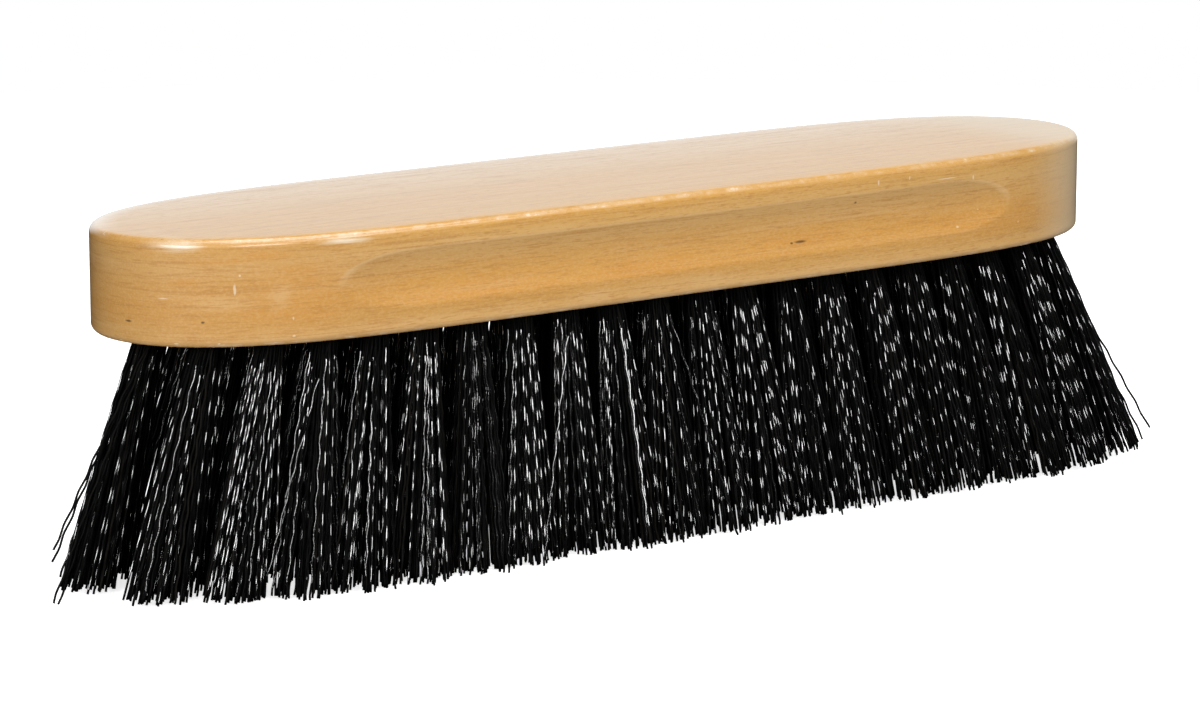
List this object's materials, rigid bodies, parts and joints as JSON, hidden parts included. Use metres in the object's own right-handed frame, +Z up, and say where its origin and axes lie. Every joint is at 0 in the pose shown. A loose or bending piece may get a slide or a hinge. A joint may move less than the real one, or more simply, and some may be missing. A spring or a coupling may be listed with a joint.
{
  "type": "dandy brush",
  "caption": "Oblong varnished wooden brush back with finger grooves along its sides and staggered rows of black crimped bristle tufts.",
  "frame": {"origin": "under the middle of the back, level with the trimmed bristle tips", "axes": "+X along the back, +Y across it, +Z up through the flat top of the back"},
  "size_m": [0.2538, 0.062, 0.068],
  "materials": {
    "varnished_wood": "clear varnish over pale straight-grained wood",
    "bristle": "black crimped synthetic filament, satin"
  },
  "bodies": {
    "root": {"wooden_block": "varnished_wood", "tuft_row_01": "bristle", "tuft_row_02": "bristle", "tuft_row_03": "bristle", "tuft_row_04": "bristle", "tuft_row_05": "bristle", "tuft_row_06": "bristle", "tuft_row_07": "bristle", "tuft_row_08": "bristle", "tuft_row_09": "bristle", "tuft_row_10": "bristle", "tuft_row_11": "bristle", "tuft_row_12": "bristle", "tuft_row_13": "bristle", "tuft_row_14": "bristle", "tuft_row_15": "bristle", "tuft_row_16": "bristle", "tuft_row_17": "bristle", "tuft_row_18": "bristle", "tuft_row_19": "bristle", "tuft_row_20": "bristle"}
  },
  "joints": []
}
